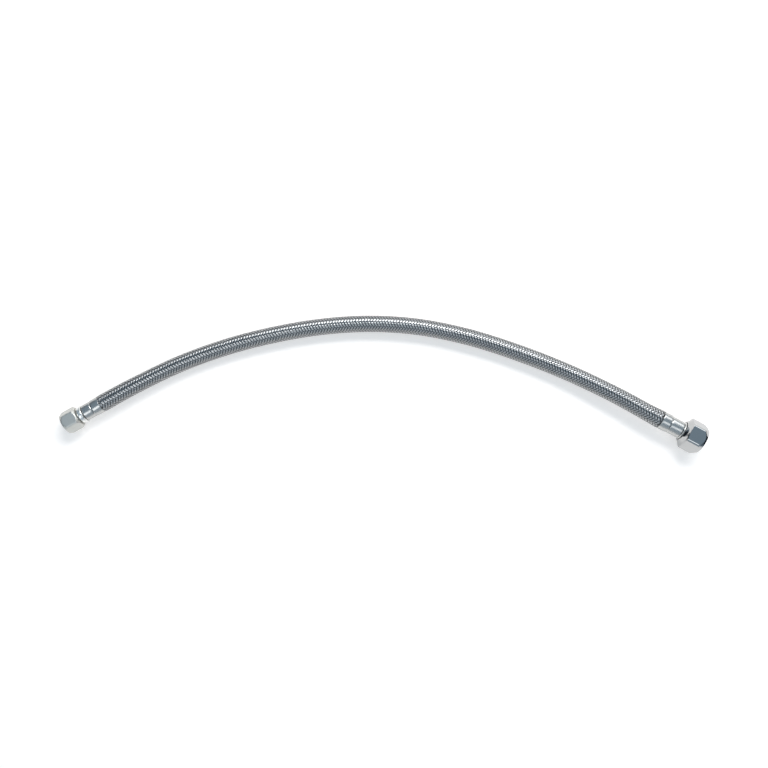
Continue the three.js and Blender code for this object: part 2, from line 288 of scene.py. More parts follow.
FINISHES = {
    "braid_steel": Finish(
        "woven_stainless_wire", (0.47, 0.475, 0.48), 0.32, marks=0.2, bump=0.3, wires=14.0, brushed=0.9
    ),
    "ferrule_steel": Finish("polished_stainless_sheet", (0.5, 0.5, 0.49), 0.27, marks=0.08, bump=0.03),
    "insert_plated_brass": Finish("bright_nickel_plate", (0.86, 0.86, 0.84), 0.32, marks=0.08, bump=0.03),
    "nut_nickel": Finish(
        "satin_nickel_plate", (0.66, 0.655, 0.62), 0.48, marks=0.3, scratch_scale=700.0, bump=0.35
    ),
    "nut_chrome": Finish("polished_chrome_plate", (0.47, 0.475, 0.475), 0.07, marks=0.07, bump=0.02),
    "lining_rubber": Finish("black_hose_rubber", (0.02, 0.02, 0.021), 0.55, 0.0, marks=0.1, bump=0.2),
    "seal_rubber": Finish("black_seal_rubber", (0.025, 0.025, 0.026), 0.5, 0.0, marks=0.1, bump=0.2),
    "slip_nylon": Finish("natural_nylon", (0.8, 0.78, 0.72), 0.4, 0.0, marks=0.05, bump=0.1),
}


class Workshop:
    """Makes the materials once and turns finished meshes into pieces that ride on the CAD bodies."""

    def __init__(self) -> None:
        """Builds the node groups and the materials."""
        self.groups = {"marks": tarnish_group(), "wires": wires_group()}
        self.materials = {slot: finish.material(self.groups) for slot, finish in FINISHES.items()}

    def piece(self, name: str, bm: BMesh, slot: str, body: str, node: str) -> Object:
        """Turns a bmesh into a smooth, dressed object that rides on a body.

        Args:
            name: the object's name.
            bm: its mesh, in metres in the row frame; it is freed.
            slot: the record's material slot.
            body: the CAD body that it rides on.
            node: the CAD node that it stands for.

        Returns:
            The new object.
        """
        mesh = bpy.data.meshes.new(name)
        bm.to_mesh(mesh)
        bm.free()
        return self.dress(bpy.data.objects.new(name, mesh), slot, body, node)

    def dress(self, made: Object, slot: str, body: str, node: str) -> Object:
        """Links an object, gives it its finish and body, and reports it.

        Args:
            made: the object, in place.
            slot: the record's material slot.
            body: the CAD body that it rides on.
            node: the CAD node that it stands for.

        Returns:
            The same object.
        """
        bpy.context.scene.collection.objects.link(made)
        made.data.materials.clear()
        made.data.materials.append(self.materials[slot])
        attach(made, body)
        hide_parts(node)
        triangles = sum(len(face.vertices) - 2 for face in made.data.polygons)
        log.info("%s: %d triangles on %s", made.name, triangles, body)
        return made


# Turned shapes

CREASE_ANGLE = 35.0  # degrees


def arc(radius: float, u: float, size: float, start: float, stop: float, steps: int = 6) -> Outline:
    """Points of a round on an outline, from one angle to another, in degrees.

    Args:
        radius: the round's centre, from the axis.
        u: the round's centre, along the axis.
        size: its radius.
        start: first angle; 0 points away from the axis and 90 along it.
        stop: last angle.
        steps: how many chords it has.

    Returns:
        The points, as (radius, u).
    """
    turns = [math.radians(start + (stop - start) * i / steps) for i in range(steps + 1)]
    return [(radius + size * math.cos(t), u + size * math.sin(t)) for t in turns]


def chords(start: tuple[float, float], stop: tuple[float, float], steps: int) -> Outline:
    """Points along a straight stretch of an outline, both ends included.

    Args:
        start: the first point, as (radius, u).
        stop: the last point.
        steps: how many chords it has.

    Returns:
        The points.
    """
    (r, u), (r_end, u_end) = start, stop
    return [(r + (r_end - r) * i / steps, u + (u_end - u) * i / steps) for i in range(steps + 1)]


def spun(outline: Outline, steps: int, crease: float = CREASE_ANGLE) -> BMesh:
    """Spins a closed outline into a ring about the Y axis, smooth but for its sharp edges.

    Args:
        outline: points as (radius, u) in millimetres, in order.
        steps: how many steps the full turn has.
        crease: edges sharper than this, in degrees, stay crisp.

    Returns:
        The ring, in metres, with its axis along +Y.
    """
    bm = bmesh.new()
    verts = [bm.verts.new((r * MM, u * MM, 0.0)) for r, u in outline]
    edges = [bm.edges.new((verts[i], verts[(i + 1) % len(verts)])) for i in range(len(verts))]
    bmesh.ops.spin(
        bm, geom=verts + edges, cent=(0, 0, 0), axis=(0, 1, 0), angle=2 * math.pi, steps=steps, use_merge=True
    )
    bmesh.ops.remove_doubles(bm, verts=bm.verts, dist=SEAM_DISTANCE)
    finish_shell(bm, crease)
    return bm


def finish_shell(bm: BMesh, crease: float) -> None:
    """Turns a closed shell's faces outwards, smooths them and marks its sharp edges.

    Args:
        bm: the shell.
        crease: edges sharper than this, in degrees, stay crisp.
    """
    bmesh.ops.recalc_face_normals(bm, faces=bm.faces)
    for face in bm.faces:
        face.smooth = True
    limit = math.radians(crease)
    for edge in bm.edges:
        edge.smooth = len(edge.link_faces) == 2 and edge.calc_face_angle(0.0) < limit


# The ends

CREASE_FORM = ((-0.28, 0.25), (-0.1, 0.04), (0.0, 0.0), (0.1, 0.04), (0.26, 0.2))  # place and height
STEM_REACH = 1.5  # how far an insert's stem sticks out of the ferrule's mouth, inside the hose
BEAD_SHARE, STEP_SHARE = 0.45, 0.35  # of the collar's length, for its round back and its smaller front
EASE = 0.15  # round of the slip washer's edges
LIP_ROUND = 0.4  # round of a seal's front edge
BLANK_ALLOWANCE = 1.5  # how far a nut's blank stands out of its hexagon's corners
FRONT_CHAMFER = 60.0  # degrees
CONE_STEPS, WALL_STEPS = 26, 8  # rings on a chamfer and between the chamfers
THREAD_STEPS = 64  # to a turn
THREAD_START, THREAD_STOP = 1.6, 0.8  # from the lip and before the lead-in, in pitches
RIDGE_ROOT, RIDGE_CREST = 0.42, 0.07  # half the thread ridge's width, in pitches
RIDGE_SINK = 0.05  # how deep the ridge's root lies in the socket's wall


@dataclass(frozen=True)
class EndSizes:
    """Sizes of one end, as in the CAD source. Places are along the axis, from the ferrule's mouth.

    Attributes:
        mouth: where the hose enters the ferrule, in plan.
        heading: the way the nut points in plan, in degrees from +X.
        flare: how much wider the ferrule's mouth is than its front.
        shoulder: radius where the cone at the nut's back starts, and its slope in degrees.
        free_play: how far the nut slides each way.
        washer: the slip washer's thickness, width and clearance in the socket.
        seal_sizes: the seal's length, clearance in the socket, taper and radius of its hole.
        spigot: radius and length of the spigot in front of the head, 0 without one.
        recess: depth and clearance of the nut's recess for the collar, 0 without one.
    """

    name: str
    mouth: tuple[float, float]
    heading: float
    ferrule_length: float
    crease_at: float
    flare: float
    lining_crimped: float
    bore: float
    stem: float
    collar: float
    collar_length: float
    collar_step: float
    head_length: float
    head_clearance: float
    flats: float
    nut_length: float
    lip: float
    socket: float
    corner: float
    back_radius: float
    shoulder: tuple[float, float]
    front_radius: float
    lead_in: float
    free_play: float
    washer: tuple[float, float, float]
    seal: Seal
    seal_sizes: tuple[float, float, float, float]
    thread_pitch: float
    thread_depth: float
    nut_slot: str
    spigot: tuple[float, float] = (0.0, 0.0)
    recess: tuple[float, float] = (0.0, 0.0)
    wall: float = 0.6
    crease_depth: float = 0.3
    braid_crimped: float = 0.4

    @property
    def axis(self) -> Vector:
        """The way the nut points."""
        turn = math.radians(self.heading)
        return Vector((math.cos(turn), math.sin(turn), 0.0))

    @property
    def place(self) -> Matrix:
        """Takes the end's own frame, with its axis along +Y, to the row frame, in metres."""
        across = self.axis.cross(Vector((0, 0, 1)))
        turned = Matrix((across, self.axis, Vector((0, 0, 1)))).transposed().to_4x4()
        return Matrix.Translation((self.mouth[0] * MM, self.mouth[1] * MM, self.flats / 2 * MM)) @ turned

    @property
    def lining_inner(self) -> float:
        """Radius of the lining's bore on the stem."""
        return self.stem + RADIAL_GAP

    @property
    def crease_inner(self) -> float:
        """Inner radius of the ferrule's crease."""
        return self.lining_inner + self.lining_crimped + RADIAL_GAP + self.braid_crimped + RADIAL_GAP

    @property
    def mouth_inner(self) -> float:
        """Inner radius of the ferrule's mouth."""
        return self.crease_inner + self.crease_depth + self.flare

    @property
    def collar_back(self) -> float:
        """Where the collar starts."""
        return self.ferrule_length + SEAT_GAP

    @property
    def collar_front(self) -> float:
        """Where the collar ends."""
        return self.collar_back + self.collar_length

    @property
    def recess_floor(self) -> float:
        """Where the nut's lip starts."""
        return self.collar_front + self.free_play + SEAT_GAP / 2

    @property
    def nut_back(self) -> float:
        """Where the nut starts."""
        return self.recess_floor - self.recess[0]

    @property
    def nut_front(self) -> float:
        """Where the nut ends."""
        return self.nut_back + self.nut_length

    @property
    def lip_front(self) -> float:
        """Where the nut's lip ends."""
        return self.recess_floor + self.lip

    @property
    def washer_radii(self) -> tuple[float, float]:
        """Inner and outer radius of the slip washer."""
        outer = self.socket - self.washer[2]
        return outer - self.washer[1], outer

    @property
    def neck(self) -> float:
        """Radius of the insert's neck."""
        return self.washer_radii[0] - RADIAL_GAP

    @property
    def head_back(self) -> float:
        """Where the insert's head starts."""
        return self.lip_front + SEAT_GAP + self.washer[0] + self.free_play + SEAT_GAP / 2

    @property
    def head_front(self) -> float:
        """Where the insert's head ends."""
        return self.head_back + self.head_length


VALVE = EndSizes(
    name="valve", mouth=(-231.5, 11.5), heading=211.2, ferrule_length=15.3, crease_at=7.6, flare=0.35,
    lining_crimped=0.85, bore=2.6, stem=3.9, collar=7.5, collar_length=3.7, collar_step=0.45,
    head_length=1.4, head_clearance=0.6, flats=17.4, nut_length=13.2, lip=2.4, socket=6.8, corner=2.0,
    back_radius=8.1, shoulder=(8.1, 45.0), front_radius=8.2, lead_in=0.5, free_play=1.0,
    washer=(0.8, 1.2, 0.5), seal=Seal.CONE, seal_sizes=(2.8, 0.6, 1.6, 2.9), thread_pitch=1.058,
    thread_depth=0.55, nut_slot="nut_nickel", spigot=(3.7, 1.8),
)
FAUCET = EndSizes(
    name="faucet", mouth=(226.4, 10.6), heading=-26.9, ferrule_length=18.2, crease_at=7.8, flare=0.4,
    lining_crimped=1.05, bore=3.0, stem=4.1, collar=7.4, collar_length=2.4, collar_step=0.3,
    head_length=1.6, head_clearance=1.1, flats=23.8, nut_length=17.4, lip=2.6, socket=10.0, corner=2.6,
    back_radius=8.7, shoulder=(11.4, 15.0), front_radius=11.0, lead_in=0.6, free_play=1.1,
    washer=(1.0, 3.6, 0.8), seal=Seal.FLAT, seal_sizes=(2.4, 0.6, 0.0, 4.2), thread_pitch=1.814,
    thread_depth=0.9, nut_slot="nut_chrome", recess=(2.4, 0.5),
)


@dataclass
class Fitting:
    """One swivel end: ferrule, insert, slip washer, seal and nut."""

    size: EndSizes
    round_steps: int = 96
    nut_steps: int = 240
    edge_round: float = 0.3

    def ferrule(self) -> BMesh:
        """The crimped sleeve: rolled mouth, wide section, crease, narrow section and an inturned front.

        Returns:
            The sleeve, in the end's own frame.
        """
        s = self.size
        front = s.crease_inner + s.crease_depth
        half = 2 * s.crease_depth
        wide, bottom, narrow = s.mouth_inner + s.wall, s.crease_inner + s.wall, front + s.wall
        return spun(
            [
                (s.mouth_inner, s.wall / 2),
                *arc(s.mouth_inner + s.wall / 2, s.wall / 2, s.wall / 2, 180, 360, 8),
                (wide, 1.6),
                (wide, s.crease_at - half - 0.5),
                (wide - 0.05, s.crease_at - half),
                *((bottom + rise, s.crease_at + off) for off, rise in CREASE_FORM),
                (narrow - 0.03, s.crease_at + half),
                (narrow, s.crease_at + half + 0.4),
                (narrow, s.ferrule_length - s.wall - 0.6),
                *arc(front, s.ferrule_length - s.wall, s.wall, 0, 90, 8),
                (s.lining_inner + RADIAL_GAP, s.ferrule_length),
                (s.lining_inner + RADIAL_GAP, s.ferrule_length - s.wall),
                (front, s.ferrule_length - s.wall),
                (front, s.crease_at + half),
                (s.crease_inner, s.crease_at),
                (s.mouth_inner, s.crease_at - half - 2 * s.flare),
            ],
            self.round_steps,
            60.0,
        )

    def insert(self) -> BMesh:
        """The turned insert: plain stem, beaded collar with a step, neck, head and, for a cone, a spigot.

        Returns:
            The insert, in the end's own frame.
        """
        s = self.size
        bead = min(BEAD_SHARE * s.collar_length, s.collar - s.neck) / 2
        step_at = s.collar_front - STEP_SHARE * s.collar_length
        step = s.collar - s.collar_step
        edge = min(0.25 * s.head_length, 0.4)
        head = s.socket - s.head_clearance
        nose = (
            [
                *arc(s.spigot[0] - 0.2, s.head_front + s.spigot[1] - 0.2, 0.2, 0, 90, 4),
                (s.bore, s.head_front + s.spigot[1]),
            ]
            if s.spigot[1]
            else [(s.bore + 0.2, s.head_front), (s.bore, s.head_front - 0.2)]
        )
        return spun(
            [
                (s.bore, -STEM_REACH),
                (s.stem - 0.35, -STEM_REACH),
                (s.stem - 0.2, s.ferrule_length - 2.5),
                (s.lining_inner, s.ferrule_length - 1.5),
                (s.lining_inner, s.collar_back),
                *arc(s.collar - bead, s.collar_back + bead, bead, -90, 75, 10),
                (step - 0.12, step_at - 0.1),
                *arc(step - bead / 2, s.collar_front - bead / 2, bead / 2, 10, 90, 5),
                (s.neck, s.collar_front),
                (s.neck, s.head_back),
                *arc(head - edge, s.head_back + edge, edge, -90, 0, 4),
                *arc(head - edge, s.head_front - edge, edge, 0, 90, 4),
                *([(s.spigot[0], s.head_front)] if s.spigot[1] else []),
                *nose,
            ],
            self.round_steps,
        )

    def washer(self) -> BMesh:
        """The nylon ring between the nut's lip and the insert's head, with eased edges.

        Returns:
            The ring, in the end's own frame.
        """
        s = self.size
        inner, outer = s.washer_radii
        back, front = s.lip_front + SEAT_GAP, s.lip_front + SEAT_GAP + s.washer[0]
        return spun(
            [
                (inner, back), *arc(outer - EASE, back + EASE, EASE, -90, 0, 3),
                *arc(outer - EASE, front - EASE, EASE, 0, 90, 3), (inner, front),
            ],
            self.round_steps,
        )

    def seal(self) -> BMesh:
        """The rubber seal: a cone over the spigot, or a flat washer.

        Returns:
            The seal, in the end's own frame.
        """
        s = self.size
        length, clearance, taper, hole = s.seal_sizes
        base, back = s.socket - clearance, s.head_front + SEAT_GAP
        front = back + length
        if s.seal is Seal.CONE:
            seat = s.head_front + s.spigot[1] + SEAT_GAP
            inside = [(hole, seat), (s.spigot[0] + RADIAL_GAP, seat), (s.spigot[0] + RADIAL_GAP, back)]
        else:
            inside = [(hole, back)]
        tip = base - taper
        return spun(
            [
                (base - 0.3, back), (base, back + 0.35), (base - 0.02, back + 0.6), (tip + 0.02, front - 0.6),
                *arc(tip - LIP_ROUND, front - LIP_ROUND, LIP_ROUND, 20, 90, 5),
                (hole + 0.25, front), (hole, front - 0.25), *inside,
            ],
            self.round_steps,
        )

    def hexagon_radius(self, turn: float) -> float:
        """How far the hexagon bar's surface is from the axis.

        Args:
            turn: the angle about the axis, with a flat's middle at 0.

        Returns:
            The radius, in millimetres.
        """
        s = self.size
        off = abs((turn + HEXAGON_TURN) % (2 * HEXAGON_TURN) - HEXAGON_TURN)
        flat = s.flats / 2
        centre = (flat - s.corner) / math.cos(HEXAGON_TURN)
        plain = flat / math.cos(off)
        if plain * math.sin(off) <= centre * math.sin(HEXAGON_TURN):
            return plain
        away = HEXAGON_TURN - off
        return centre * math.cos(away) + math.sqrt(max(0.0, s.corner**2 - (centre * math.sin(away)) ** 2))

    def nut(self) -> BMesh:
        """The hex nut: a turned blank whose outer wall is pressed to a chamfered hexagon, with a real thread.

        Returns:
            The nut, in the end's own frame.
        """
        s = self.size
        reach = s.flats / 2 / math.cos(HEXAGON_TURN) + BLANK_ALLOWANCE
        hole = s.neck + 1.5 * RADIAL_GAP
        room = s.collar + s.recess[1]
        shoulder, shoulder_slope = s.shoulder
        shoulder_at = s.nut_back + shoulder - s.back_radius
        run_back = (reach - shoulder) * math.tan(math.radians(shoulder_slope))
        run_front = (reach - s.front_radius) * math.tan(math.radians(FRONT_CHAMFER))
        lead = min(s.socket + s.lead_in, s.front_radius - 0.5)
        wall = s.socket + s.thread_depth / 2
        hub = [(s.back_radius, s.nut_back)] if shoulder > s.back_radius else []
        back_cone = chords((shoulder, shoulder_at), (reach, shoulder_at + run_back), CONE_STEPS)
        front_cone = chords((reach, s.nut_front - run_front), (s.front_radius, s.nut_front), CONE_STEPS)
        between = chords(back_cone[-1], front_cone[0], WALL_STEPS)[1:-1]
        outside = [*hub, *back_cone, *between, *front_cone]
        recess = (
            [(room, s.nut_back), (room, s.recess_floor), (hole, s.recess_floor)]
            if s.recess[0]
            else [(hole + 0.2, s.nut_back), (hole, s.nut_back + 0.2)]
        )
        bm = spun(
            [
                *recess,
                (hole, s.lip_front), (wall, s.lip_front), (wall, s.nut_front - s.lead_in - 0.3),
                (lead, s.nut_front), *reversed(outside),
            ],
            self.nut_steps,
        )
        smooth = self.edge_round
        for vert in bm.verts:
            radius = math.hypot(vert.co.x, vert.co.z) / MM
            bar = self.hexagon_radius(math.atan2(vert.co.x, vert.co.z))
            blend = max(0.0, smooth - abs(radius - bar)) / smooth
            pressed = min(radius, bar) - blend * blend * smooth / 4
            scale = pressed / radius
            vert.co.x *= scale
            vert.co.z *= scale
        finish_shell(bm, CREASE_ANGLE)
        self.cut_thread(bm, wall)
        return bm

    def cut_thread(self, bm: BMesh, wall: float) -> None:
        """Winds the thread's ridge inside the socket.

        Args:
            bm: the nut.
            wall: radius of the thread's roots.
        """
        s = self.size
        start = s.lip_front + THREAD_START * s.thread_pitch
        stop = s.nut_front - s.lead_in - THREAD_STOP * s.thread_pitch
        turns = (stop - start) / s.thread_pitch
        root, crest = RIDGE_ROOT * s.thread_pitch, RIDGE_CREST * s.thread_pitch
        ridge = [
            (wall + RIDGE_SINK, -root), (wall - s.thread_depth, -crest),
            (wall - s.thread_depth, crest), (wall + RIDGE_SINK, root),
        ]
        verts = [bm.verts.new((r * MM, (start + u) * MM, 0.0)) for r, u in ridge]
        cap = bm.faces.new(verts)
        steps = int(turns * THREAD_STEPS)
        made = bmesh.ops.spin(
            bm, geom=[*verts, *cap.edges, cap], cent=(0, 0, 0), axis=(0, 1, 0),
            dvec=(0, (stop - start) / steps * MM, 0), angle=2 * math.pi * turns, steps=steps, use_merge=False,
        )
        last = [g for g in made["geom_last"] if isinstance(g, bmesh.types.BMFace)]
        shell = {cap, *last}
        todo = [cap]
        while todo:
            for edge in todo.pop().edges:
                for face in edge.link_faces:
                    if face not in shell:
                        shell.add(face)
                        todo.append(face)
        bmesh.ops.recalc_face_normals(bm, faces=list(shell))

    def build(self, shop: Workshop) -> None:
        """Makes the end's pieces and sets them on their bodies.

        Args:
            shop: makes the pieces.
        """
        s = self.size
        swivel, slip = f"{s.name}_swivel", f"{s.name}_slip"
        plan = (
            (f"{s.name}_crimped_ferrule", self.ferrule(), "ferrule_steel", "hose", f"{s.name}_ferrule"),
            (f"{s.name}_barbed_insert", self.insert(), "insert_plated_brass", "hose", f"{s.name}_insert"),
            (f"{s.name}_rubber_seal", self.seal(), "seal_rubber", "hose", f"{s.name}_{s.seal.value}_seal"),
            (f"{s.name}_nylon_ring", self.washer(), "slip_nylon", slip, f"{s.name}_slip_washer"),
            (f"{s.name}_hex_nut", self.nut(), s.nut_slot, swivel, f"{s.name}_nut"),
        )
        for name, bm, slot, body, node in plan:
            bmesh.ops.transform(bm, matrix=s.place, verts=bm.verts)
            shop.piece(name, bm, slot, body, node)


# The hose

CORE_CREASE_ANGLE = 50.0  # degrees


@dataclass
class Route:
    """The middle of the hose, from the inside of one ferrule to the inside of the other."""

    plan: tuple[Triple, ...] = (
        (-207.2, 26.0, 8.35), (-168.9, 46.3, 7.05), (-129.7, 61.8, 6.9), (-90.3, 73.0, 6.9),
        (-50.7, 80.6, 6.9), (-10.9, 83.9, 6.9), (29.0, 82.1, 6.9), (69.0, 74.9, 6.9),
        (109.0, 63.3, 6.95), (149.0, 48.5, 7.9), (188.1, 30.6, 10.5),
    )
    straight: float = 8.0
    guide: float = 1.6
    tuck: float = 13.0
    spacing: float = 0.5
    ending_points: int = 22
    curve_steps: int = 24
    points: np.ndarray = field(init=False)
    along: np.ndarray = field(init=False)
    sides: np.ndarray = field(init=False)
    ups: np.ndarray = field(init=False)

    def __post_init__(self) -> None:
        """Lays the line out and its frames, with distances measured from the valve end's mouth."""
        line = np.array([*self.ending(VALVE), *self.curve(), *self.ending(FAUCET)[::-1]])
        steps = np.concatenate([[0.0], np.cumsum(np.linalg.norm(np.diff(line, axis=0), axis=1))])
        at = np.linspace(0.0, steps[-1], int(steps[-1] / self.spacing))
        self.points = np.stack([np.interp(at, steps, line[:, k]) for k in range(3)], axis=1)
        self.along = at - self.tuck
        ahead = np.gradient(self.points, axis=0)
        ahead /= np.linalg.norm(ahead, axis=1)[:, None]
        sides = np.cross([0.0, 0.0, 1.0], ahead)
        self.sides = sides / np.linalg.norm(sides, axis=1)[:, None]
        self.ups = np.cross(ahead, self.sides)

    @property
    def length(self) -> float:
        """Length of the hose between the two mouths, in millimetres."""
        return float(self.along[-1] - self.tuck)

    def before(self, end: EndSizes, distance: float) -> np.ndarray:
        """A point on an end's axis, that far from its mouth towards the hose."""
        return np.array([*end.mouth, end.flats / 2]) - np.array(end.axis) * distance

    def ending(self, end: EndSizes) -> list[np.ndarray]:
        """The straight part of the line at an end, from inside the ferrule outwards."""
        return [self.before(end, d) for d in np.linspace(-self.tuck, self.straight, self.ending_points)[:-1]]

    def curve(self) -> list[np.ndarray]:
        """The free part of the line: a centripetal spline through the plan's points.

        Returns:
            Its points, from the valve end to the faucet end.
        """
        guided = self.guide * self.straight
        knots = [
            self.before(VALVE, self.straight), self.before(VALVE, guided),
            *(np.array(p) for p in self.plan),
            self.before(FAUCET, guided), self.before(FAUCET, self.straight),
        ]
        knots = [2 * knots[0] - knots[1], *knots, 2 * knots[-1] - knots[-2]]
        made = []
        for a, b, c, d in zip(knots, knots[1:], knots[2:], knots[3:]):
            t0, t1, t2 = (math.sqrt(np.linalg.norm(q - p)) for p, q in ((a, b), (b, c), (c, d)))
            leave = ((b - a) / t0 - (c - a) / (t0 + t1) + (c - b) / t1) * t1
            arrive = ((c - b) / t1 - (d - b) / (t1 + t2) + (d - c) / t2) * t1
            for t in np.linspace(0.0, 1.0, self.curve_steps, endpoint=False):
                made.append(
                    (2 * b - 2 * c + leave + arrive) * t**3
                    + (3 * c - 3 * b - 2 * leave - arrive) * t**2 + leave * t + b
                )
        return [*made, knots[-2]]

    def wrap(self, along: np.ndarray, turn: np.ndarray, radius: np.ndarray) -> np.ndarray:
        """Places points of the unrolled hose in the row frame.

        Args:
            along: distances from the valve end's mouth.
            turn: angles about the hose, 0 at its outer side in plan and a quarter turn at its top.
            radius: distances from the middle.

        Returns:
            Points in metres, one to a row.
        """
        middle, side, up = (
            np.stack([np.interp(along, self.along, column) for column in rows.T], axis=1)
            for rows in (self.points, self.sides, self.ups)
        )
        out = side * np.cos(turn)[:, None] + up * np.sin(turn)[:, None]
        return (middle + out * radius[:, None]) * MM


def close_roll(mesh: Mesh) -> BMesh:
    """Joins the seams of rolled-up grids and closes their open ends.

    Args:
        mesh: the grids, already rolled up.

    Returns:
        The closed shells.
    """
    bm = bmesh.new()
    bm.from_mesh(mesh)
    bmesh.ops.remove_doubles(bm, verts=bm.verts, dist=MERGE_DISTANCE)
    bmesh.ops.holes_fill(bm, edges=[edge for edge in bm.edges if edge.is_boundary], sides=0)
    return bm


def corners(mesh: Mesh) -> np.ndarray:
    """The vertices of a mesh, one to a row."""
    flat = np.zeros(len(mesh.vertices) * 3)
    mesh.vertices.foreach_get("co", flat)
    return flat.reshape(-1, 3)


@dataclass
class HoseCore:
    """The black rubber tube under the sleeve, squeezed on both stems."""

    route: Route
    bore: float = 4.4
    wall: float = 1.75
    sides: int = 32
    rings: int = 260
    end_inset: float = 0.5
    squeezed_to: float = -0.6
    free_from: float = 4.0
    path: np.ndarray = field(init=False)

    def radius(self, along: np.ndarray, inner: bool) -> np.ndarray:
        """The tube's radius along the hose.

        Args:
            along: distances from the valve end's mouth.
            inner: whether the bore's radius is asked for, not the outer one.

        Returns:
            The radii.
        """
        free = self.bore if inner else self.bore + self.wall
        tight = [end.lining_inner + (0.0 if inner else end.lining_crimped) for end in (VALVE, FAUCET)]
        last = self.route.length
        knots = [self.squeezed_to, self.free_from, last - self.free_from, last - self.squeezed_to]
        return np.interp(along, knots, [tight[0], free, free, tight[1]])

    def build(self, shop: Workshop) -> Object:
        """Extrudes the tube's ring along the route and bridges its two walls.

        Args:
            shop: makes the piece.

        Returns:
            The tube.
        """
        route = self.route
        at = np.linspace(route.along[0] + self.end_inset, route.along[-1] - self.end_inset, self.rings)
        self.path = route.wrap(at, np.zeros(len(at)), np.zeros(len(at)))
        bm = bmesh.new()
        rows = 2 * self.sides + 2
        bmesh.ops.create_grid(bm, x_segments=self.rings - 1, y_segments=rows, size=1.0)
        mesh = bpy.data.meshes.new("hose_core")
        bm.to_mesh(mesh)
        bm.free()
        co = corners(mesh)
        column = np.rint((co[:, 0] + 1) / 2 * (self.rings - 1)).astype(int)
        row = np.rint((co[:, 1] + 1) / 2 * rows).astype(int)
        outside = (row <= self.sides) | (row == rows)
        turn = np.where(outside, row, rows - 1 - row) % (self.sides + 1) * 2 * math.pi / self.sides
        along = at[column]
        radius = np.where(outside, self.radius(along, False), self.radius(along, True))
        mesh.vertices.foreach_set("co", route.wrap(along, turn, radius).ravel())
        shell = close_roll(mesh)
        finish_shell(shell, CORE_CREASE_ANGLE)
        shell.to_mesh(mesh)
        shell.free()
        return shop.dress(bpy.data.objects.new("hose_core", mesh), "lining_rubber", "hose", "hose_lining")


